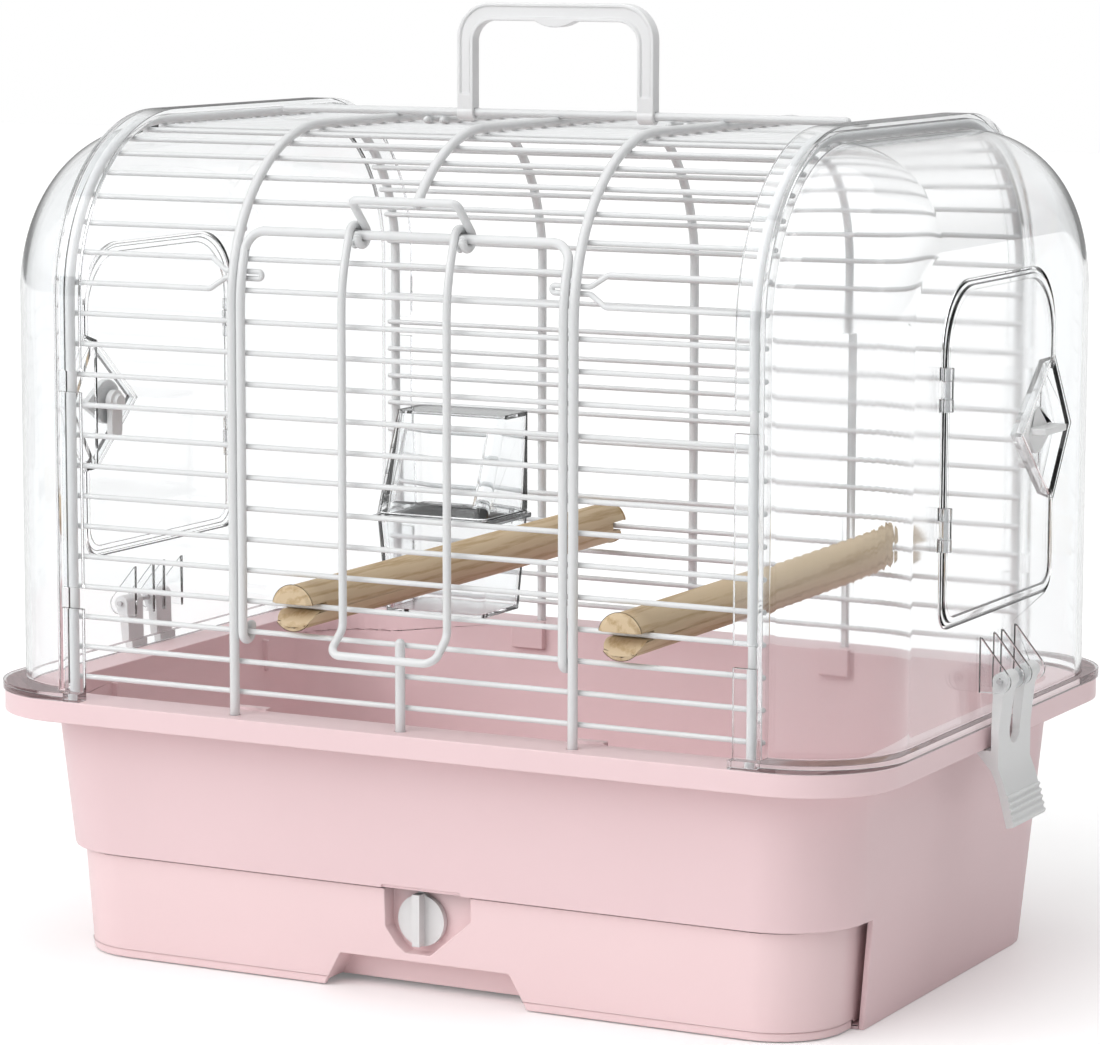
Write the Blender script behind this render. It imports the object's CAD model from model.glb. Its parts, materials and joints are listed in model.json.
"""Looks of a small bird travel carrier, built round its packed construction model.

The coated wires are drawn by Geometry Nodes along paths worked out from the frame. The
moulded pieces are the frame's own shapes with their edges rounded. Every length is in
metres, +Z is up and the carrier's front faces -Y.
"""

import json
import math

import bmesh
import bpy
from bpy.props import FloatProperty, FloatVectorProperty, IntProperty, PointerProperty
from mathutils import Matrix, Vector


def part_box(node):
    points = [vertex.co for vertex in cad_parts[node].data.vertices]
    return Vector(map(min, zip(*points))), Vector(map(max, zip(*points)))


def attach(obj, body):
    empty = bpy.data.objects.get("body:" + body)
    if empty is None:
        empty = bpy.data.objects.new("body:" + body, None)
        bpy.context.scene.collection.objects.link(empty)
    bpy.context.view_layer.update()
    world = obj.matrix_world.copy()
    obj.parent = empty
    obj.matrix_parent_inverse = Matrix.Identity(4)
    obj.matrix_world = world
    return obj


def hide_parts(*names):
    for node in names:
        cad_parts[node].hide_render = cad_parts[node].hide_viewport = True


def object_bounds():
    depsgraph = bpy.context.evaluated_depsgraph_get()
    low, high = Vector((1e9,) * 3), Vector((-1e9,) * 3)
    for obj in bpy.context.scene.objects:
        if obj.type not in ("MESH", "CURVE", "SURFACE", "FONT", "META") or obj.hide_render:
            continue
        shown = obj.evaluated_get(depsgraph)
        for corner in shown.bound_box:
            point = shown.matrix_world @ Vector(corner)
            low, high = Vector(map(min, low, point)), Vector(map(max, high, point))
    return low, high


bl_info = {
    "name": "Bird Travel Carrier",
    "version": (1, 0, 0),
    "blender": (4, 5, 0),
    "location": "View3D > Sidebar > Carrier",
    "description": "Builds the looks of a wire bird carrier with clear end caps and a drawer",
    "category": "Add Mesh",
}

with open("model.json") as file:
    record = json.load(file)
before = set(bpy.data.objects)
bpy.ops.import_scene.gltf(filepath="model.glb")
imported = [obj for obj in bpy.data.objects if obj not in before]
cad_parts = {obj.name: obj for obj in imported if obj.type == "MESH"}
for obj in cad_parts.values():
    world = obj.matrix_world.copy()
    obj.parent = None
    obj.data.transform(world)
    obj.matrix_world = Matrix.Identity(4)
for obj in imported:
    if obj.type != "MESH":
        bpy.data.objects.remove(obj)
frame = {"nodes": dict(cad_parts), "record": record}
CAD_LOW, CAD_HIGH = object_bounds()

MM = 0.001


# ------------------------------------------------------------------ settings


class WireSettings(bpy.types.PropertyGroup):
    """Sizes of the coated wires and of the path that they follow."""

    thin_radius: FloatProperty(
        name="Thin Wire", description="Radius of the horizontal wires", default=1.1 * MM,
        subtype="DISTANCE")
    hoop_radius: FloatProperty(
        name="Hoop Wire", description="Radius of the hoops", default=2.0 * MM,
        subtype="DISTANCE")
    frame_radius: FloatProperty(
        name="Door Wire", description="Radius of the door's frame", default=1.85 * MM,
        subtype="DISTANCE")
    latch_radius: FloatProperty(
        name="Latch Wire", description="Radius of the latch's wire", default=1.65 * MM,
        subtype="DISTANCE")
    rod_radius: FloatProperty(
        name="Handle Rod", description="Radius of the rod under the handle",
        default=1.75 * MM, subtype="DISTANCE")
    bracket_radius: FloatProperty(
        name="Bracket Wire", description="Radius of the roof brackets", default=1.5 * MM,
        subtype="DISTANCE")
    shoulder: FloatProperty(
        name="Shoulder", description="Bend radius of the hoops' shoulders",
        default=70 * MM, subtype="DISTANCE")
    weld: FloatProperty(
        name="Weld Depth", description="How deep crossing wires are melted together",
        default=0.2 * MM, subtype="DISTANCE")
    bead: FloatProperty(
        name="Weld Bead", description="Half length of the coat's bead at each weld",
        default=1.75 * MM, subtype="DISTANCE")
    steps: IntProperty(
        name="Wire Spaces", description="Spaces from the lowest wire to the roof's middle",
        default=26, min=4)
    sides: IntProperty(
        name="Sides", description="Sides of the wires' round section", default=20, min=6)


class PlasticSettings(bpy.types.PropertyGroup):
    """Edge rounding and colours of the moulded pieces."""

    edge: FloatProperty(
        name="Edge Rounding", description="Rounding of the moulded pieces' edges",
        default=0.5 * MM, subtype="DISTANCE")
    fine_edge: FloatProperty(
        name="Fine Rounding", description="Rounding of the small pieces' edges",
        default=0.28 * MM, subtype="DISTANCE")
    tub_colour: FloatVectorProperty(
        name="Tub", description="Colour of the tub", subtype="COLOR",
        default=(0.828, 0.619, 0.638), min=0, max=1)
    drawer_colour: FloatVectorProperty(
        name="Drawer", description="Colour of the drawer", subtype="COLOR",
        default=(0.876, 0.663, 0.675), min=0, max=1)
    wire_colour: FloatVectorProperty(
        name="Coating", description="Colour of the wires' coat", subtype="COLOR",
        default=(0.735, 0.745, 0.750), min=0, max=1)
    handle_colour: FloatVectorProperty(
        name="Handle", description="Colour of the handle", subtype="COLOR",
        default=(0.86, 0.865, 0.87), min=0, max=1)
    knob_colour: FloatVectorProperty(
        name="Knob", description="Colour of the drawer's knob", subtype="COLOR",
        default=(0.76, 0.76, 0.76), min=0, max=1)
    lever_colour: FloatVectorProperty(
        name="Levers", description="Colour of the clips and side knobs", subtype="COLOR",
        default=(0.76, 0.765, 0.765), min=0, max=1)
    wood_light: FloatVectorProperty(
        name="Pale Wood", description="Lighter colour of the perches", subtype="COLOR",
        default=(0.63, 0.49, 0.32), min=0, max=1)
    wood_dark: FloatVectorProperty(
        name="Dark Wood", description="Darker colour of the perches' grain", subtype="COLOR",
        default=(0.46, 0.32, 0.17), min=0, max=1)


class CapSettings(bpy.types.PropertyGroup):
    """Sizes of the clear end caps' curved wall."""

    end: FloatProperty(
        name="End Wall", description="Distance from the middle to a cap's end wall",
        default=198 * MM, subtype="DISTANCE")
    edge: FloatProperty(
        name="Large Edge", description="Outer radius of the edge round the end wall",
        default=42 * MM, subtype="DISTANCE")
    outer: FloatProperty(
        name="Shoulder", description="Outer radius of the cap's shoulders",
        default=68 * MM, subtype="DISTANCE")
    wall: FloatProperty(
        name="Wall", description="Thickness of the clear wall", default=2.2 * MM,
        subtype="DISTANCE")


class StageSettings(bpy.types.PropertyGroup):
    """Floor, light and camera."""

    floor_colour: FloatVectorProperty(
        name="Floor", description="Colour of the floor", subtype="COLOR",
        default=(0.955, 0.955, 0.955), min=0, max=1)
    floor_glow: FloatProperty(
        name="Floor Glow", description="Brightness that the floor has of its own",
        default=0.16, min=0)
    sky: FloatProperty(
        name="Surround", description="Brightness of the surround as light", default=0.33,
        min=0)
    horizon: FloatProperty(
        name="Mirrored Horizon", description="Brightness of the horizon in reflections",
        default=0.28, min=0)
    mirrored: FloatProperty(
        name="Mirrored Sky", description="Brightness of the sky in reflections",
        default=0.9, min=0)
    key: FloatProperty(
        name="Key Light", description="Strength of the light from the front left",
        default=1.35, min=0)
    top: FloatProperty(
        name="Top Light", description="Strength of the light from overhead", default=1.32,
        min=0)
    panels: FloatProperty(
        name="Panels", description="Power of the panels that give highlights", default=3,
        min=0, subtype="POWER")
    lens: FloatProperty(
        name="Lens", description="Focal length for a 36 mm wide image", default=138.95,
        unit="CAMERA")


# ------------------------------------------------------------ the cage's path


def wires():
    """The wire settings of this scene."""
    return bpy.context.scene.carrier_wires


def plastics():
    """The plastic settings of this scene."""
    return bpy.context.scene.carrier_plastics


def caps():
    """The end cap settings of this scene."""
    return bpy.context.scene.carrier_caps


class CagePath:
    """The path of the cage's section: up the front, over the roof, down the back."""

    def __init__(self):
        size = wires()
        low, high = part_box("main_hoop_right")
        self.hoop_y = high.y - size.hoop_radius
        self.top = high.z - size.hoop_radius
        self.foot = low.z
        self.pitch_x = (low.x + high.x) / 2
        self.shoulder = size.shoulder
        self.arch_y = self.hoop_y - size.shoulder
        self.arch_z = self.top - size.shoulder
        self.thin = size.shoulder - size.hoop_radius - size.thin_radius + size.weld
        low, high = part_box("front_wires")
        self.low = low.z + size.thin_radius
        self.wire_end = high.x
        self.rise = self.arch_z - self.low
        self.arc = self.thin * math.pi / 2
        self.pitch = (self.rise + self.arc + self.arch_y) / size.steps

    def angle(self, run):
        """Angle round the shoulder, from the front, that a run along the path comes to."""
        return (run - self.rise) / self.thin

    def at(self, k, big=None, side=-1):
        """(y, z) of horizontal wire k, on the front (side -1) or the back (side 1)."""
        big = self.thin if big is None else big
        run = k * self.pitch
        if run <= self.rise:
            return side * (self.arch_y + big), self.low + run
        if run <= self.rise + self.arc:
            a = self.angle(run)
            return (side * (self.arch_y + big * math.cos(a)),
                    self.arch_z + big * math.sin(a))
        return side * (self.rise + self.arc + self.arch_y - run), self.arch_z + big


class DomedWall:
    """The two curved faces of an end cap's wall, as distances from its middle lines."""

    alike = 0.95  # how well a facet's direction must agree with the wall's
    near = 0.2 * MM  # how far from the wall a facet may lie

    def __init__(self):
        cage, size = CagePath(), caps()
        self.arch_y, self.arch_z = cage.arch_y, cage.arch_z
        self.inner = size.outer - size.edge
        self.flat = size.end - size.edge
        self.faces = (size.edge, size.edge - size.wall)

    def at(self, p):
        """Outward direction at a point, and its distance along it from the middle line."""
        x = abs(p.x) - self.flat
        y, z = abs(p.y) - self.arch_y, p.z - self.arch_z
        if z < 0:
            section, depth = Vector((0, 1, 0)), y - self.inner
        elif y > 0:
            section, depth = Vector((0, y, z)).normalized(), math.hypot(y, z) - self.inner
        else:
            section, depth = Vector((0, 0, 1)), z - self.inner
        if x <= 0:
            away, reach = section, depth
        elif depth <= 0:
            away, reach = Vector((1, 0, 0)), x
        else:
            away = Vector((x, 0, 0)) + section * depth
            reach = away.length
            away.normalize()
        return Vector((math.copysign(away.x, p.x), math.copysign(away.y, p.y), away.z)), reach

    def face_at(self, reach):
        """The wall's inner or outer face, whichever is nearer."""
        return min(self.faces, key=lambda face: abs(face - reach))

    def holds(self, p, normal):
        """Whether a face with this middle and normal is part of the domed top."""
        away, reach = self.at(p)
        return (p.z >= self.arch_z and abs(away.dot(normal)) > self.alike
                and abs(self.face_at(reach) - reach) < self.near)

    def nearest(self, p):
        """The point moved onto the wall's face."""
        away, reach = self.at(p)
        step = self.face_at(reach) - reach
        return p + away * step if abs(step) < self.near else p


def arc_yz(x, y, z, big, start, end, step=4):
    """Points of an arc in a plane of constant x; angles in degrees, up from +Y."""
    n = max(2, math.ceil(abs(end - start) / step))
    turns = [math.radians(start + (end - start) * i / n) for i in range(n + 1)]
    return [Vector((x, y + big * math.cos(a), z + big * math.sin(a))) for a in turns]


def rounded_path(points, radii, step=8):
    """A path with each inner point rounded to its own radius."""
    points = [Vector(p) for p in points]
    out = [points[0]]
    for a, b, c, big in zip(points, points[1:], points[2:], radii):
        u, v = (b - a).normalized(), (c - b).normalized()
        turn = u.angle(v)
        w = (v - u * u.dot(v)).normalized()
        centre = b - u * big * math.tan(turn / 2) + w * big
        n = max(2, math.ceil(math.degrees(turn) / step))
        for i in range(n + 1):
            t = turn * i / n
            out.append(centre + big * (u * math.sin(t) - w * math.cos(t)))
    out.append(points[-1])
    return out


# ------------------------------------------------------------- node helpers


def new_group(name, kind, inputs, outputs):
    """An empty node group with named sockets, and its input and output nodes."""
    tree = bpy.data.node_groups.new(name, kind)
    for label, socket, default in inputs:
        made = tree.interface.new_socket(label, in_out="INPUT", socket_type=socket)
        if default is not None:
            made.default_value = default
    for label, socket in outputs:
        tree.interface.new_socket(label, in_out="OUTPUT", socket_type=socket)
    return tree, tree.nodes.new("NodeGroupInput"), tree.nodes.new("NodeGroupOutput")


def node(tree, kind, inputs=(), **settings):
    """Adds a node, sets its properties, and links or sets its inputs."""
    made = tree.nodes.new(kind)
    for key, value in settings.items():
        setattr(made, key, value)
    for key, value in dict(inputs).items():
        if isinstance(value, bpy.types.NodeSocket):
            tree.links.new(value, made.inputs[key])
        else:
            made.inputs[key].default_value = value
    return made


def ramp(tree, value, stops):
    """A colour ramp with its stops given as (position, grey or colour)."""
    made = node(tree, "ShaderNodeValToRGB", {"Fac": value})
    while len(made.color_ramp.elements) < len(stops):
        made.color_ramp.elements.new(0.5)
    for element, (position, colour) in zip(made.color_ramp.elements, stops):
        element.position = position
        grey = not hasattr(colour, "__len__")
        element.color = (colour, colour, colour, 1) if grey else (*colour, 1)
    return made.outputs["Color"]


def principled(name, **values):
    """A material with its Principled shader's plain values set."""
    material = bpy.data.materials.new(name)
    material.use_nodes = True
    shader = material.node_tree.nodes["Principled BSDF"]
    for key, value in values.items():
        shader.inputs[key.replace("_", " ")].default_value = value
    return material, material.node_tree, shader


# ---------------------------------------------------------- shared surfaces


def moulded_group():
    """Colour, roughness and height of a moulded or coated surface."""
    if "Moulded Surface" in bpy.data.node_groups:
        return bpy.data.node_groups["Moulded Surface"]
    tree, start, end = new_group("Moulded Surface", "ShaderNodeTree", [
        ("Color", "NodeSocketColor", (0.8, 0.8, 0.8, 1)),
        ("Shift", "NodeSocketFloat", 0.05),
        ("Roughness", "NodeSocketFloat", 0.4),
        ("Spread", "NodeSocketFloat", 0.1),
        ("Grain", "NodeSocketFloat", 900.0),
    ], [("Color", "NodeSocketColor"), ("Roughness", "NodeSocketFloat"),
        ("Height", "NodeSocketFloat")])
    coords = node(tree, "ShaderNodeTexCoord").outputs["Object"]
    cloud = node(tree, "ShaderNodeTexNoise", {"Vector": coords, "Scale": 14.0, "Detail": 3.0})
    smear = node(tree, "ShaderNodeTexNoise",
                 {"Vector": coords, "Scale": 70.0, "Detail": 6.0, "Roughness": 0.65})
    grain = node(tree, "ShaderNodeTexNoise",
                 {"Vector": coords, "Scale": start.outputs["Grain"], "Detail": 2.0})
    centred = node(tree, "ShaderNodeMath", {0: cloud.outputs["Fac"], 1: 0.5},
                   operation="SUBTRACT")
    amount = node(tree, "ShaderNodeMath",
                  {0: centred.outputs[0], 1: start.outputs["Shift"]}, operation="MULTIPLY")
    value = node(tree, "ShaderNodeMath", {0: amount.outputs[0], 1: 1.0}, operation="ADD")
    colour = node(tree, "ShaderNodeHueSaturation",
                  {"Color": start.outputs["Color"], "Value": value.outputs[0]})
    patches = node(tree, "ShaderNodeMath", {0: smear.outputs["Fac"], 1: 0.5},
                   operation="SUBTRACT")
    rough = node(tree, "ShaderNodeMath", {
        0: patches.outputs[0], 1: start.outputs["Spread"],
        2: start.outputs["Roughness"]}, operation="MULTIPLY_ADD")
    tree.links.new(colour.outputs[0], end.inputs["Color"])
    tree.links.new(rough.outputs[0], end.inputs["Roughness"])
    tree.links.new(grain.outputs["Fac"], end.inputs["Height"])
    return tree


def moulded(name, colour, roughness, grain=900.0, relief=0.04, **values):
    """A moulded plastic or coated metal, with the shared surface group in it."""
    material, tree, shader = principled(name, **values)
    surface = node(tree, "ShaderNodeGroup", node_tree=moulded_group())
    surface.inputs["Color"].default_value = (*colour, 1)
    surface.inputs["Roughness"].default_value = roughness
    surface.inputs["Grain"].default_value = grain
    bump = node(tree, "ShaderNodeBump", {"Height": surface.outputs["Height"],
                                         "Strength": relief, "Distance": 0.0005})
    tree.links.new(surface.outputs["Color"], shader.inputs["Base Color"])
    tree.links.new(surface.outputs["Roughness"], shader.inputs["Roughness"])
    tree.links.new(bump.outputs["Normal"], shader.inputs["Normal"])
    return material


def clear(name, tint, roughness):
    """Clear moulded plastic with a faint waviness and a few dull patches."""
    duller, paler = 0.05, 1.03  # what a patch adds to the roughness, and the tint's lift
    material, tree, shader = principled(
        name, Transmission_Weight=1.0, IOR=1.49, Metallic=0.0)
    coords = node(tree, "ShaderNodeTexCoord").outputs["Object"]
    haze = node(tree, "ShaderNodeTexNoise", {"Vector": coords, "Scale": 22.0, "Detail": 4.0})
    rough = node(tree, "ShaderNodeMapRange", {
        "Value": haze.outputs["Fac"], "From Min": 0.35, "From Max": 0.75,
        "To Min": roughness, "To Max": roughness + duller})
    colour = node(tree, "ShaderNodeMixRGB", {
        "Fac": haze.outputs["Fac"], "Color1": (*tint, 1),
        "Color2": (*[min(1.0, c * paler) for c in tint], 1)})
    wave = node(tree, "ShaderNodeTexNoise", {"Vector": coords, "Scale": 9.0, "Detail": 1.0})
    bump = node(tree, "ShaderNodeBump", {"Height": wave.outputs["Fac"], "Strength": 0.05,
                                         "Distance": 0.002})
    tree.links.new(colour.outputs[0], shader.inputs["Base Color"])
    tree.links.new(rough.outputs["Result"], shader.inputs["Roughness"])
    tree.links.new(bump.outputs["Normal"], shader.inputs["Normal"])
    return material


def wood(name, light, dark):
    """Turned dowel with grain along Y and rings on its ends."""
    material, tree, shader = principled(name, IOR=1.45)
    coords = node(tree, "ShaderNodeTexCoord").outputs["Object"]
    along = node(tree, "ShaderNodeMapping", {"Vector": coords, "Scale": (1.0, 0.06, 1.0)})
    fibre = node(tree, "ShaderNodeTexNoise", {
        "Vector": along.outputs[0], "Scale": 900.0, "Detail": 5.0, "Roughness": 0.6})
    figure = node(tree, "ShaderNodeTexWave", {
        "Vector": along.outputs[0], "Scale": 60.0, "Distortion": 9.0, "Detail": 3.0,
        "Detail Scale": 1.4}, wave_type="RINGS", rings_direction="Y")
    mixed = node(tree, "ShaderNodeMath", {0: figure.outputs["Fac"], 1: 0.45,
                                          2: fibre.outputs["Fac"]},
                 operation="MULTIPLY_ADD")
    colour = ramp(tree, mixed.outputs[0], [(0.35, dark), (0.75, light), (1.0, light)])
    rough = ramp(tree, fibre.outputs["Fac"], [(0.2, 0.75), (0.8, 0.52)])
    bump = node(tree, "ShaderNodeBump", {"Height": fibre.outputs["Fac"], "Strength": 0.25,
                                         "Distance": 0.0004})
    tree.links.new(colour, shader.inputs["Base Color"])
    tree.links.new(rough, shader.inputs["Roughness"])
    tree.links.new(bump.outputs["Normal"], shader.inputs["Normal"])
    return material


MATERIAL_MAKERS = {
    "tub_plastic": lambda: moulded(
        "Pink plastic", plastics().tub_colour, roughness=0.36, relief=0.05),
    "drawer_plastic": lambda: moulded(
        "Pale pink plastic", plastics().drawer_colour, roughness=0.34, relief=0.05),
    "coated_wire": lambda: moulded(
        "White powder coat", plastics().wire_colour, roughness=0.34, grain=650.0,
        relief=0.12, Coat_Weight=0.3, Coat_Roughness=0.12),
    "handle_plastic": lambda: moulded(
        "White plastic", plastics().handle_colour, roughness=0.33),
    "knob_plastic": lambda: moulded(
        "Knob plastic", plastics().knob_colour, roughness=0.35),
    "lever_plastic": lambda: moulded(
        "Grey plastic", plastics().lever_colour, roughness=0.3),
    "clear_plastic": lambda: clear(
        "Clear plastic", tint=(0.955, 0.965, 0.97), roughness=0.02),
    "feeder_plastic": lambda: clear(
        "Smoky clear plastic", tint=(0.93, 0.94, 0.945), roughness=0.03),
    "perch_wood": lambda: wood(
        "Dowel wood", plastics().wood_light, plastics().wood_dark),
    "pin_steel": lambda: moulded(
        "Pin steel", (0.56, 0.56, 0.57), roughness=0.32, grain=1500.0, relief=0.1,
        Metallic=1.0),
}
SLOT_OF = {s["node"]: s["material_slot"] for s in frame["record"]["subparts"]}
BODY_OF = {n: body for body, nodes in frame["record"]["behaviour"]["bodies"].items()
           for n in nodes}
CLEAR_SLOTS = ("clear_plastic", "feeder_plastic")
_materials = {}


def finish_of(slot):
    """The material that the record's slot stands for, made on first use."""
    if slot not in _materials:
        _materials[slot] = MATERIAL_MAKERS[slot]()
    return _materials[slot]


def place(piece, n):
    """Hangs a finished piece on its CAD body, with the slot of the node it stands for."""
    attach(piece, BODY_OF[n])
    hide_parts(n)
    return piece


# ------------------------------------------------------------- coated wires


SILL_WIRES = 3  # front wires below the doorway
DOOR_TOP = SILL_WIRES + 12  # the wire at the doorway's top, counted from the lowest
BEAD_SHAPE = Vector((0.8, 0.75, 0.8))  # a weld's bead, against a ball of full size
BEAD_OUT = 0.55  # how far a bead sits out of its wire's middle, in wire radii
TIP_STEPS = (0.0, 0.08, 0.3, 0.6, 1.0)  # where a wire's round end has points, in radii
TIP_LEAST = 0.02  # share of the radius at a wire's very tip
ALMOST = 1e-6  # keeps two bends that touch a hair apart


def coated_wire_tree():
    """Round wire along every edge path, with a bead of coat at each weld point."""
    if "Coated Wire" in bpy.data.node_groups:
        return bpy.data.node_groups["Coated Wire"]
    tree, start, end = new_group("Coated Wire", "GeometryNodeTree", [
        ("Geometry", "NodeSocketGeometry", None),
        ("Radius", "NodeSocketFloat", 0.001),
        ("Sides", "NodeSocketInt", 16),
        ("Bead", "NodeSocketFloat", 0.002),
        ("Material", "NodeSocketMaterial", None),
    ], [("Geometry", "NodeSocketGeometry")])
    run = node(tree, "GeometryNodeMeshToCurve", {"Mesh": start.outputs["Geometry"]})
    ring = node(tree, "GeometryNodeCurvePrimitiveCircle", {
        "Resolution": start.outputs["Sides"], "Radius": start.outputs["Radius"]})
    taper = node(tree, "GeometryNodeInputNamedAttribute", {"Name": "taper"},
                 data_type="FLOAT")
    tube = node(tree, "GeometryNodeCurveToMesh", {
        "Curve": run.outputs[0], "Profile Curve": ring.outputs["Curve"],
        "Scale": taper.outputs["Attribute"], "Fill Caps": True})
    weld = node(tree, "GeometryNodeInputNamedAttribute", {"Name": "weld"},
                data_type="FLOAT_VECTOR")
    is_weld = node(tree, "ShaderNodeVectorMath", {0: weld.outputs["Attribute"]},
                   operation="LENGTH")
    chosen = node(tree, "FunctionNodeCompare", {"A": is_weld.outputs["Value"], "B": 0.1},
                  data_type="FLOAT", operation="GREATER_THAN")
    bead = node(tree, "GeometryNodeMeshUVSphere", {
        "Segments": 12, "Rings": 8, "Radius": start.outputs["Bead"]})
    beads = node(tree, "GeometryNodeInstanceOnPoints", {
        "Points": start.outputs["Geometry"], "Selection": chosen.outputs["Result"],
        "Instance": bead.outputs["Mesh"], "Scale": weld.outputs["Attribute"]})
    both = node(tree, "GeometryNodeJoinGeometry")
    tree.links.new(tube.outputs["Mesh"], both.inputs[0])
    tree.links.new(beads.outputs["Instances"], both.inputs[0])
    real = node(tree, "GeometryNodeRealizeInstances", {"Geometry": both.outputs[0]})
    smooth = node(tree, "GeometryNodeSetShadeSmooth", {"Geometry": real.outputs[0]})
    painted = node(tree, "GeometryNodeSetMaterial", {
        "Geometry": smooth.outputs[0], "Material": start.outputs["Material"]})
    tree.links.new(painted.outputs[0], end.inputs["Geometry"])
    return tree


def with_round_ends(points, radius):
    """The path's points with extra ones at its ends, and each point's share of the radius."""
    out = []
    for tip, inner in ((points[0], points[1]), (points[-1], points[-2])):
        along = (inner - tip).normalized()
        out.append([(tip + along * radius * t,
                     max(TIP_LEAST, math.sqrt(1 - (1 - t) ** 2))) for t in TIP_STEPS])
    return out[0] + [(p, 1.0) for p in points[1:-1]] + out[1][::-1]


def wire_piece(name, n, paths, radius, welds=()):
    """Draws round-ended wires along the paths and stands them in for a CAD node."""
    mesh = bpy.data.meshes.new(name)
    points, edges, tapers = [], [], []
    for path in paths:
        ends = with_round_ends([Vector(p) for p in path], radius)
        first = len(points)
        points += [p for p, _ in ends]
        tapers += [t for _, t in ends]
        edges += [(first + i, first + i + 1) for i in range(len(ends) - 1)]
    beads = [(0, 0, 0)] * len(points) + [shape for _, shape in welds]
    tapers += [1.0] * len(welds)
    points += [p for p, _ in welds]
    mesh.from_pydata(points, edges, [])
    mesh.attributes.new("taper", "FLOAT", "POINT").data.foreach_set("value", tapers)
    mesh.attributes.new("weld", "FLOAT_VECTOR", "POINT").data.foreach_set(
        "vector", [c for bead in beads for c in bead])
    draft = bpy.data.objects.new(name + " draft", mesh)
    bpy.context.scene.collection.objects.link(draft)
    tree = coated_wire_tree()
    build = draft.modifiers.new("Coated Wire", "NODES")
    build.node_group = tree
    values = {"Radius": radius, "Sides": wires().sides, "Bead": wires().bead,
              "Material": finish_of("coated_wire")}
    for item in tree.interface.items_tree:
        if item.in_out == "INPUT" and item.name in values:
            build[item.identifier] = values[item.name]
    place(baked(draft, name), n)


def baked(draft, name):
    """A plain mesh object from a draft's evaluated form; the draft is removed."""
    graph = bpy.context.evaluated_depsgraph_get()
    mesh = bpy.data.meshes.new_from_object(draft.evaluated_get(graph))
    for attribute in ("taper", "weld"):
        if attribute in mesh.attributes:
            mesh.attributes.remove(mesh.attributes[attribute])
    mesh.name = name
    piece = bpy.data.objects.new(name, mesh)
    bpy.context.scene.collection.objects.link(piece)
    bpy.data.objects.remove(draft)
    return piece


def straight(x0, x1, y, z):
    """A wire along X."""
    return [Vector((x0, y, z)), Vector((x1, y, z))]


# ---------------------------------------------------------- moulded pieces


MERGE = 2e-6  # points nearer than this are one
FLAT = math.radians(0.4)  # facets that turn less than this are one face
SHARP = math.radians(32)  # edges that turn more than this are rounded


def softened(name, nodes, edge, clamp=False, reshape=None):
    """The CAD nodes' own shape with merged faces and rounded edges, as one piece each."""
    made = []
    for n in nodes:
        source = bmesh.new()
        source.from_mesh(frame["nodes"][n].data)
        bmesh.ops.remove_doubles(source, verts=source.verts, dist=MERGE)
        bmesh.ops.dissolve_limit(source, angle_limit=FLAT, verts=source.verts,
                                 edges=source.edges)
        if reshape:
            reshape(source)
        mesh = bpy.data.meshes.new(n)
        source.to_mesh(mesh)
        source.free()
        mesh.materials.clear()
        mesh.materials.append(finish_of(SLOT_OF[n]))
        mesh.shade_smooth()
        draft = bpy.data.objects.new(n + " draft", mesh)
        bpy.context.scene.collection.objects.link(draft)
        bevel = draft.modifiers.new("Edges", "BEVEL")
        bevel.width = edge
        bevel.segments = 2
        bevel.limit_method = "ANGLE"
        bevel.angle_limit = SHARP
        bevel.use_clamp_overlap = clamp
        bevel.miter_outer = "MITER_ARC"
        weight = draft.modifiers.new("Flat faces", "WEIGHTED_NORMAL")
        weight.keep_sharp = False
        label = name if len(nodes) == 1 else name + "_" + n.rsplit("_", 1)[-1]
        piece = place(baked(draft, label), n)
        piece.visible_shadow = SLOT_OF[n] not in CLEAR_SLOTS
        made.append(piece)
    return made


# --------------------------------------------------------------- operators


class PieceOperator:
    """What the operators that build pieces share."""

    bl_options = {"REGISTER", "UNDO"}


class CARRIER_OT_hoops(PieceOperator, bpy.types.Operator):
    """Bend the five hoops, the centre stub, the handle's rod and the roof brackets"""

    bl_idname = "carrier.hoops"
    bl_label = "Hoops and Rod"

    past_row = 2  # degrees that the centre hoop's front end passes its last wire by

    def execute(self, context):
        cage, size = CagePath(), wires()
        for n in ("end_hoop_left", "end_hoop_right", "main_hoop_left", "main_hoop_right",
                  "centre_hoop"):
            low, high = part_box(n)
            x = (low.x + high.x) / 2
            path = [Vector((x, cage.hoop_y, cage.foot))]
            path += arc_yz(x, cage.arch_y, cage.arch_z, cage.shoulder, 0, 90)
            front = 180.0
            if n == "centre_hoop":
                last = (DOOR_TOP + 1) * cage.pitch
                front -= math.degrees(cage.angle(last)) - self.past_row
            path += arc_yz(x, -cage.arch_y, cage.arch_z, cage.shoulder, 90, front)
            if n != "centre_hoop":
                path.append(Vector((x, -cage.hoop_y, cage.foot)))
            wire_piece(n + "_wire", n, [path], size.hoop_radius)
        low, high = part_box("centre_stub")
        wire_piece("centre_stub_wire", "centre_stub",
                   [[Vector((0, -cage.hoop_y, low.z)), Vector((0, -cage.hoop_y, high.z))]],
                   size.hoop_radius)
        low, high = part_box("top_rod")
        wire_piece("top_rod_wire", "top_rod",
                   [straight(low.x, high.x, 0, (low.z + high.z) / 2)], size.rod_radius)
        for n in ("handle_bracket_left", "handle_bracket_right"):
            low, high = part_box(n)
            r = size.bracket_radius
            x0, x1, z = low.x + r, high.x - r, (low.z + high.z) / 2
            path = rounded_path([(x0, low.y, z), (x0, high.y - r, z), (x1, high.y - r, z),
                                 (x1, low.y, z)], [(x1 - x0) / 2 - ALMOST] * 2)
            wire_piece(n + "_wire", n, [path], r)
        return {"FINISHED"}


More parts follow.
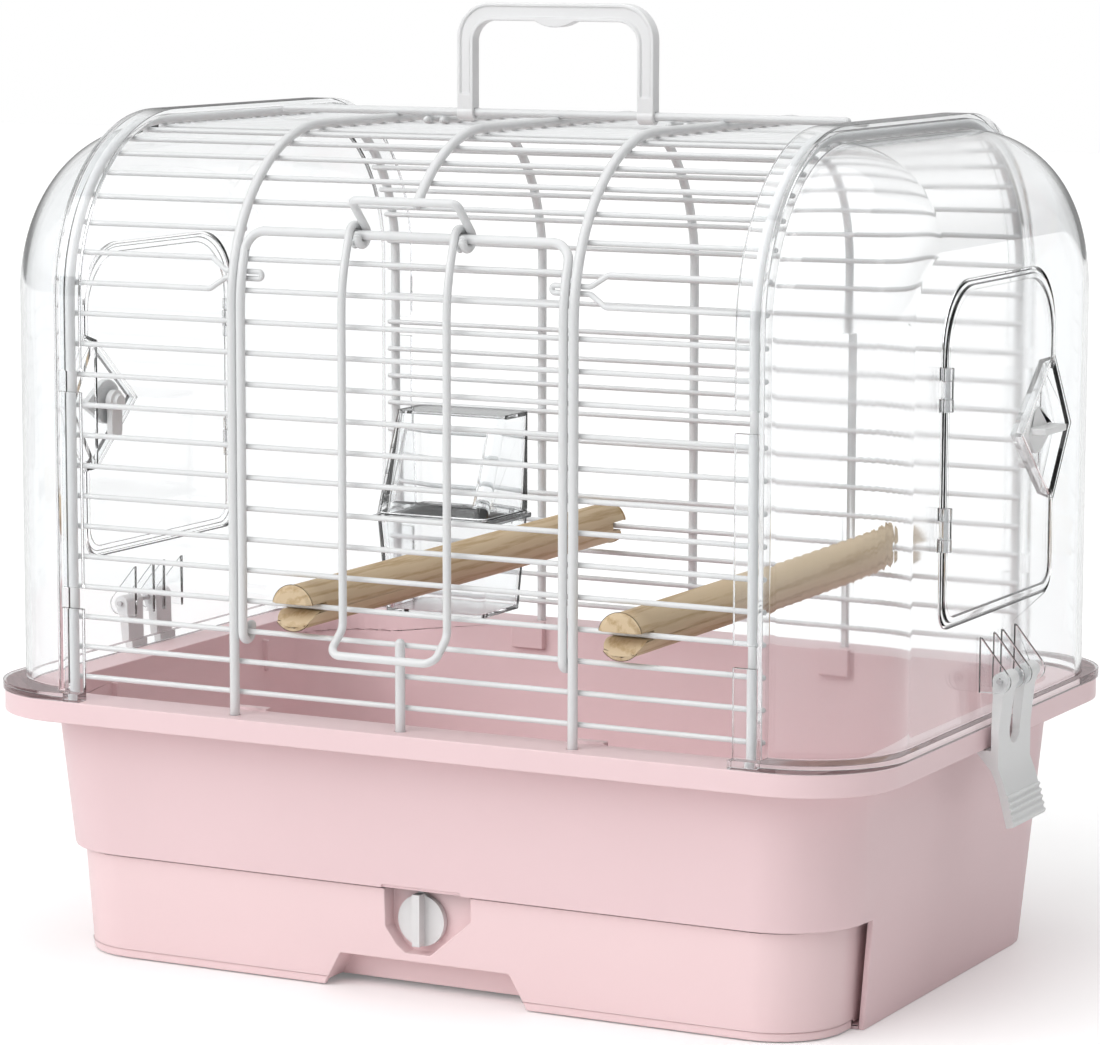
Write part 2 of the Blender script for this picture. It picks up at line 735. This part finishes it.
class CARRIER_OT_cage_wires(PieceOperator, bpy.types.Operator):
    """String the horizontal wires of the front, back and roof, with a bead at each weld"""

    bl_idname = "carrier.cage_wires"
    bl_label = "Cage Wires"

    stop_tip = 64.5 * MM  # from the middle to a hairpin's tip
    stop_half = 1.4 * MM  # half the space between a hairpin's legs
    stop_near = 5 * MM  # from the hoop to where the legs start to part
    stop_far = 12 * MM  # from the hoop to where they join their wires
    stop_bend = 3 * MM

    def execute(self, context):
        cage, size = CagePath(), wires()
        hoops = [cage.pitch_x * i for i in (-2, -1, 0, 1, 2)]
        end, r = cage.wire_end, size.thin_radius
        rows, beads = [], []

        def add(k, x0, x1, side=-1):
            y, z = cage.at(k, side=side)
            rows.append(straight(x0, x1, y, z))
            shift = cage.thin + r * BEAD_OUT
            by, bz = cage.at(k, shift, side)
            beads.extend((Vector((x, by, bz)), BEAD_SHAPE) for x in hoops
                         if min(x0, x1) - r < x < max(x0, x1) + r
                         and not (x == 0 and side < 0 and SILL_WIRES <= k <= DOOR_TOP))

        for k in range(SILL_WIRES):
            add(k, -end, end)
        for k in [*range(SILL_WIRES, DOOR_TOP - 2), DOOR_TOP]:
            for i in (-1, 1):
                add(k, i * end, i * (cage.pitch_x - MM))
        wire_piece("front_wire_run", "front_wires", rows, r, beads)
        rows, beads = [], []
        for k in range(DOOR_TOP + 1):
            add(k, -end, end, 1)
        wire_piece("back_wire_run", "back_wires", rows, r, beads)
        rows, beads = [], []
        for k in range(DOOR_TOP + 1, size.steps + 1):
            add(k, -end, end)
            if k < size.steps:
                add(k, -end, end, 1)
        wire_piece("roof_wire_run", "roof_wires", rows, r, beads)
        self.stops(cage, end, r)
        return {"FINISHED"}

    def stops(self, cage, end, r):
        """The hairpins at the door's upper corners, each closing two wires together."""
        low, high = cage.at(DOOR_TOP - 2), cage.at(DOOR_TOP - 1)
        y, z, h = cage.at(DOOR_TOP - 1.5)[0], (low[1] + high[1]) / 2, self.stop_half
        near, far = cage.pitch_x + self.stop_near, cage.pitch_x + self.stop_far
        bend = self.stop_bend
        rows = []
        for i in (-1, 1):
            rows.append(rounded_path([
                (i * end, *low), (i * far, *low), (i * near, y, z - h),
                (i * self.stop_tip, y, z - h), (i * self.stop_tip, y, z + h),
                (i * near, y, z + h), (i * far, *high), (i * end, *high)],
                [bend, bend, h - ALMOST, h - ALMOST, bend, bend]))
        wire_piece("door_stop_pins", "door_stops", rows, r)


class CARRIER_OT_front_door(PieceOperator, bpy.types.Operator):
    """Bend the front door's frame, string its wires and hang its latch"""

    bl_idname = "carrier.front_door"
    bl_label = "Front Door"

    out = 0.4 * MM  # from the hoops' middle line out to the frame's
    corner = 8 * MM  # bend radius of the frame's upper corners
    corner_rise = 2 * MM  # extra run that the upper corners keep below the top wire
    hook_end = 4 * MM  # from the sill wire up to the hinge hooks' ends
    past_frame = MM  # how far the door's wires reach past the frame's middle
    gap = 0.4 * MM  # play of the latch's eyes on the top bar
    latch_leg = 6 * MM  # from the sill wire up to where the latch's legs bend out
    latch_foot = 3 * MM  # from the sill wire down to the latch's foot
    latch_bends = (6 * MM, 5 * MM)  # bend radii of the latch's legs and of its foot
    jog = 11 * MM  # how far the latch's foot stands out
    tab = 16 * MM  # length of the latch's tab
    tab_bend = 2.5 * MM
    tab_lean = 45  # degrees that the tab leans outwards
    leg_eye = -100  # degrees at which the legs' eyes end
    tab_eye = -190  # and the tab's
    eye_step = 8  # degrees between an eye's points

    def execute(self, context):
        cage, size = CagePath(), wires()
        sill_y, sill_z = cage.at(SILL_WIRES - 1)
        big = cage.shoulder + self.out
        lean = cage.angle(DOOR_TOP * cage.pitch) - (self.corner + self.corner_rise) / big
        leg_y = -(cage.arch_y + big)
        hook = sill_y - leg_y
        top_y = -(cage.arch_y + big * math.cos(lean)) + self.corner * math.sin(lean)
        top_z = cage.arch_z + big * math.sin(lean) + self.corner * math.cos(lean)
        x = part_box("door_frame")[1].x - size.frame_radius

        def half(x):
            return [(x, sill_y + hook, sill_z + self.hook_end),
                    (x, sill_y + hook, sill_z - hook), (x, leg_y, sill_z - hook),
                    (x, leg_y, cage.arch_z + big * math.tan(lean / 2)), (x, top_y, top_z)]

        radii = [hook - ALMOST, hook - ALMOST, big, self.corner]
        path = rounded_path(half(-x) + half(x)[::-1], radii + radii[::-1], step=5)
        wire_piece("door_frame_wire", "door_frame", [path], size.frame_radius)
        thin = big - size.frame_radius - size.thin_radius + size.weld
        rows, beads = [], []
        for k in range(SILL_WIRES, DOOR_TOP):
            y, z = cage.at(k, thin)
            rows.append(straight(-x - self.past_frame, x + self.past_frame, y, z))
            by, bz = cage.at(k, thin + size.thin_radius * BEAD_OUT)
            beads += [(Vector((i * x, by, bz)), BEAD_SHAPE) for i in (-1, 1)]
        wire_piece("door_wire_run", "door_wires", rows, size.thin_radius, beads)
        self.latch(cage, size, big, lean, top_y, top_z, sill_z)
        return {"FINISHED"}

    def latch(self, cage, size, big, lean, top_y, top_z, sill_z):
        """The latch's two wires, each ending in eyes round the door's top bar."""
        r = size.latch_radius
        ring = size.frame_radius + r + self.gap
        turn = 180 - math.degrees(lean)
        low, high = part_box("door_latch")
        legs = -low.x - r
        y = -(cage.arch_y + big + ring)
        eye = (top_y - ring * math.cos(lean), top_z + ring * math.sin(lean))

        def half(x):
            return [(x, *eye), (x, y, cage.arch_z + (big + ring) * math.tan(lean / 2)),
                    (x, y, sill_z + self.latch_leg),
                    (x, y - self.jog, sill_z - self.latch_foot)]

        bends = [big + ring, *self.latch_bends]
        lower = rounded_path(half(-legs) + half(legs)[::-1], bends + bends[::-1], step=5)
        path = arc_yz(-legs, top_y, top_z, ring, self.leg_eye, turn, self.eye_step)
        path += lower[1:-1]
        path += arc_yz(legs, top_y, top_z, ring, turn, self.leg_eye, self.eye_step)
        side = high.x - r - legs
        tilt = math.radians(self.tab_lean)
        rise, tip = ring * math.sin(tilt), self.tab * math.sin(tilt)
        ty, tz = top_y + rise - tip, top_z + rise + tip
        upper = rounded_path([
            (side - legs, top_y + rise, top_z + rise), (side - legs, ty, tz),
            (side + legs, ty, tz), (side + legs, top_y + rise, top_z + rise)],
            [self.tab_bend] * 2)
        tab = arc_yz(side - legs, top_y, top_z, ring, self.tab_eye, self.tab_lean,
                     self.eye_step)
        tab += upper[1:-1]
        tab += arc_yz(side + legs, top_y, top_z, ring, self.tab_lean, self.tab_eye,
                      self.eye_step)
        wire_piece("door_latch_wire", "door_latch", [path, tab], r)


class CARRIER_OT_tub(PieceOperator, bpy.types.Operator):
    """Round the edges of the tub and the drawer, and finish the drawer's lock"""

    bl_idname = "carrier.tub"
    bl_label = "Tub and Drawer"

    def execute(self, context):
        softened("tub_shell", ["tub"], plastics().edge)
        softened("tub_floor", ["floor_grate"], plastics().edge)
        softened("tub_runners", ["runners"], plastics().edge)
        softened("drawer_tray", ["drawer"], plastics().edge)
        softened("drawer_knob_cap", ["drawer_knob"], plastics().fine_edge, clamp=True)
        softened("drawer_cam_arm", ["drawer_cam"], plastics().fine_edge)
        softened("cam_screw_head", ["cam_screw"], plastics().fine_edge)
        return {"FINISHED"}


class CARRIER_OT_caps(PieceOperator, bpy.types.Operator):
    """Finish the clear end caps, their side doors, knobs, pins and rim clips"""

    bl_idname = "carrier.caps"
    bl_label = "End Caps and Side Doors"

    facet = 1.2 * MM  # edges of the domed top longer than this are split

    def execute(self, context):
        fine = plastics().fine_edge
        for cap in softened("end_cap_shell", ["end_cap_left", "end_cap_right"], fine,
                            reshape=self.refine):
            self.true_normals(cap.data)
        softened("side_door_panel", ["side_door_left", "side_door_right"], fine)
        softened("side_knob_turn", ["side_knob_left", "side_knob_right"], plastics().edge)
        softened("side_tongue_bar", ["side_tongue_left", "side_tongue_right"], fine)
        softened("hinge_pin_pair", ["hinge_pins_left", "hinge_pins_right"], fine / 2)
        softened("clip_lever_arm", ["clip_lever_left", "clip_lever_right"], fine)
        softened("clip_pin_rod", ["clip_pin_left", "clip_pin_right"], fine / 2)
        return {"FINISHED"}

    def refine(self, source):
        """Splits the domed top's facets and sets the new points on its true surface."""
        wall = DomedWall()
        curved = [f for f in source.faces if wall.holds(f.calc_center_median(), f.normal)]
        split = bmesh.ops.triangulate(
            source, faces=[f for f in curved if len(f.verts) > 4])["faces"]
        curved = {f for f in curved if f.is_valid}.union(split)
        edges = {e for f in curved for e in f.edges if e.calc_length() > self.facet}
        bmesh.ops.subdivide_edges(source, edges=list(edges), cuts=2, use_grid_fill=True)
        for face in source.faces:
            face.normal_update()
            if wall.holds(face.calc_center_median(), face.normal):
                for corner in face.verts:
                    corner.co = wall.nearest(corner.co)

    def true_normals(self, mesh):
        """Takes the domed top's normals from the surfaces that it is drawn on."""
        wall = DomedWall()
        normals = [n.vector.copy() for n in mesh.corner_normals]
        for face in mesh.polygons:
            if not wall.holds(face.center, face.normal):
                continue
            for i in face.loop_indices:
                true = wall.at(mesh.vertices[mesh.loops[i].vertex_index].co)[0]
                along = true.dot(face.normal)
                if abs(along) > wall.alike:
                    normals[i] = true * math.copysign(1, along)
        mesh.normals_split_custom_set(normals)


class CARRIER_OT_fittings(PieceOperator, bpy.types.Operator):
    """Finish the handle, the perches and the feeder"""

    bl_idname = "carrier.fittings"
    bl_label = "Handle, Perches and Feeder"

    def execute(self, context):
        softened("handle_bail", ["handle"], plastics().edge)
        softened("perch_dowel", ["perch_left", "perch_right"], plastics().edge)
        softened("feeder_cup_bowl", ["feeder_cup"], plastics().fine_edge)
        softened("feeder_hood_shell", ["feeder_hood"], plastics().fine_edge)
        return {"FINISHED"}


class CARRIER_OT_stage(PieceOperator, bpy.types.Operator):
    """Lay the floor, light it softly and set the camera"""

    bl_idname = "carrier.stage"
    bl_label = "Floor, Light and Camera"

    # The camera's place and direction, fitted to the wires' crossings in the photograph.
    eye = Vector((0.80686, -1.56194, 0.42614))
    forward = Vector((-0.45575, 0.87909, -0.13961))
    roll = -0.12  # degrees
    sensor = 36  # millimetres
    floor_half = 6.0  # metres
    floor_dark = 0.985  # the darker of the floor's two faint tones, against the paler
    right_share = 0.2  # power of the right panel, against the left's
    horizon_at = 0.06  # height of a reflected direction where the dark horizon ends
    sky_at = 0.3  # and where the full sky begins

    def execute(self, context):
        scene = context.scene
        stage = scene.carrier_stage
        self.floor(scene, stage)
        self.lights(scene, stage)
        self.surround(scene, stage)
        camera = bpy.data.cameras.new("Camera")
        camera.sensor_fit = "HORIZONTAL"
        camera.sensor_width = self.sensor
        camera.lens = stage.lens
        seat = bpy.data.objects.new("Camera", camera)
        seat.location = self.eye
        seat.rotation_mode = "QUATERNION"
        turn = self.forward.to_track_quat("-Z", "Y")
        tilt = Matrix.Rotation(math.radians(self.roll), 4, self.forward).to_quaternion()
        seat.rotation_quaternion = tilt @ turn
        scene.collection.objects.link(seat)
        scene.camera = seat
        scene.view_settings.view_transform = "Standard"
        return {"FINISHED"}

    def floor(self, scene, stage):
        """A wide plain floor that the carrier stands on."""
        half = self.floor_half
        mesh = bpy.data.meshes.new("floor")
        mesh.from_pydata([(-half, -half, 0), (half, -half, 0), (half, half, 0),
                          (-half, half, 0)], [], [(0, 1, 2, 3)])
        floor = bpy.data.objects.new("floor", mesh)
        scene.collection.objects.link(floor)
        material, tree, shader = principled("Studio floor", Roughness=0.55)
        coords = node(tree, "ShaderNodeTexCoord").outputs["Object"]
        cloud = node(tree, "ShaderNodeTexNoise", {"Vector": coords, "Scale": 3.0})
        colour = stage.floor_colour
        shade = ramp(tree, cloud.outputs["Fac"],
                     [(0.3, tuple(c * self.floor_dark for c in colour)), (0.7, tuple(colour))])
        tree.links.new(shade, shader.inputs["Base Color"])
        shader.inputs["Emission Color"].default_value = (1, 1, 1, 1)
        glow = node(tree, "ShaderNodeMapRange", {
            "Value": self.bounced(tree), "To Min": stage.floor_glow, "To Max": 0.0})
        tree.links.new(glow.outputs["Result"], shader.inputs["Emission Strength"])
        mesh.materials.append(material)

    def lights(self, scene, stage):
        """Two broad suns for even light, and two panels that give long soft highlights."""
        target = (CAD_LOW + CAD_HIGH) / 2
        for name, kind, spot, size, power in (
                ("key", "SUN", Vector((-0.8, -1.5, 1.3)), 0.9, stage.key),
                ("top", "SUN", Vector((0.15, -0.1, 2.0)), 1.2, stage.top),
                ("left panel", "AREA", Vector((-1.5, -1.3, 0.8)), 0.9, stage.panels),
                ("right panel", "AREA", Vector((2.1, 0.2, 0.9)), 0.8,
                 stage.panels * self.right_share)):
            lamp = bpy.data.lights.new(name, kind)
            if kind == "SUN":
                lamp.angle = size
            else:
                lamp.shape = "RECTANGLE"
                lamp.size, lamp.size_y = size / 3, size
            lamp.energy = power
            obj = bpy.data.objects.new(name, lamp)
            obj.location = spot
            obj.rotation_mode = "QUATERNION"
            obj.rotation_quaternion = (target - spot).to_track_quat("-Z", "Y")
            scene.collection.objects.link(obj)

    def bounced(self, tree):
        """1 for a ray that has left a surface, 0 for one seen straight or through glass."""
        path = node(tree, "ShaderNodeLightPath")
        total = node(tree, "ShaderNodeMath",
                     {0: path.outputs["Diffuse Depth"], 1: path.outputs["Glossy Depth"]},
                     operation="ADD")
        return node(tree, "ShaderNodeMath", {0: total.outputs[0], 1: 0.5},
                    operation="GREATER_THAN").outputs[0]

    def surround(self, scene, stage):
        """White all round, dimmer as light, and in reflections dark near the horizon."""
        world = bpy.data.worlds.new("Surround")
        world.use_nodes = True
        tree = world.node_tree
        path = node(tree, "ShaderNodeLightPath")
        lit = node(tree, "ShaderNodeMath", {0: path.outputs["Diffuse Depth"], 1: 0.5},
                   operation="GREATER_THAN")
        coords = node(tree, "ShaderNodeTexCoord").outputs["Generated"]
        height = node(tree, "ShaderNodeSeparateXYZ", {"Vector": coords})
        mirrored = node(tree, "ShaderNodeMapRange", {
            "Value": height.outputs["Z"], "From Min": self.horizon_at, "From Max": self.sky_at,
            "To Min": stage.horizon, "To Max": stage.mirrored})
        soft = node(tree, "ShaderNodeMapRange", {
            "Value": lit.outputs[0], "To Min": mirrored.outputs["Result"],
            "To Max": stage.sky})
        strength = node(tree, "ShaderNodeMapRange", {
            "Value": self.bounced(tree), "To Min": 1.0, "To Max": soft.outputs["Result"]})
        tree.links.new(strength.outputs["Result"],
                       tree.nodes["Background"].inputs["Strength"])
        tree.nodes["Background"].inputs["Color"].default_value = (1, 1, 1, 1)
        scene.world = world


PIECES = ("hoops", "cage_wires", "front_door", "tub", "caps", "fittings", "stage")


class CARRIER_PT_panel(bpy.types.Panel):
    """Lists the carrier's settings and the operators that build it"""

    bl_idname = "CARRIER_PT_panel"
    bl_label = "Bird Travel Carrier"
    bl_space_type = "VIEW_3D"
    bl_region_type = "UI"
    bl_category = "Carrier"

    def draw(self, context):
        layout = self.layout
        for group in ("carrier_wires", "carrier_plastics", "carrier_caps", "carrier_stage"):
            settings = getattr(context.scene, group)
            for name in settings.bl_rna.properties.keys():
                if name not in ("rna_type", "name"):
                    layout.prop(settings, name)
        for piece in PIECES:
            layout.operator("carrier." + piece)


CLASSES = (WireSettings, PlasticSettings, CapSettings, StageSettings, CARRIER_OT_hoops,
           CARRIER_OT_cage_wires, CARRIER_OT_front_door, CARRIER_OT_tub, CARRIER_OT_caps,
           CARRIER_OT_fittings, CARRIER_OT_stage, CARRIER_PT_panel)


def register():
    """Registers the classes and hangs the settings on the scene."""
    for item in CLASSES:
        bpy.utils.register_class(item)
    bpy.types.Scene.carrier_wires = PointerProperty(type=WireSettings)
    bpy.types.Scene.carrier_plastics = PointerProperty(type=PlasticSettings)
    bpy.types.Scene.carrier_caps = PointerProperty(type=CapSettings)
    bpy.types.Scene.carrier_stage = PointerProperty(type=StageSettings)


def unregister():
    """Takes the settings off the scene and unregisters the classes."""
    del bpy.types.Scene.carrier_wires
    del bpy.types.Scene.carrier_plastics
    del bpy.types.Scene.carrier_caps
    del bpy.types.Scene.carrier_stage
    for item in reversed(CLASSES):
        bpy.utils.unregister_class(item)


def main():
    register()
    for piece in PIECES:
        getattr(bpy.ops.carrier, piece)()


if __name__ == "__main__":
    main()
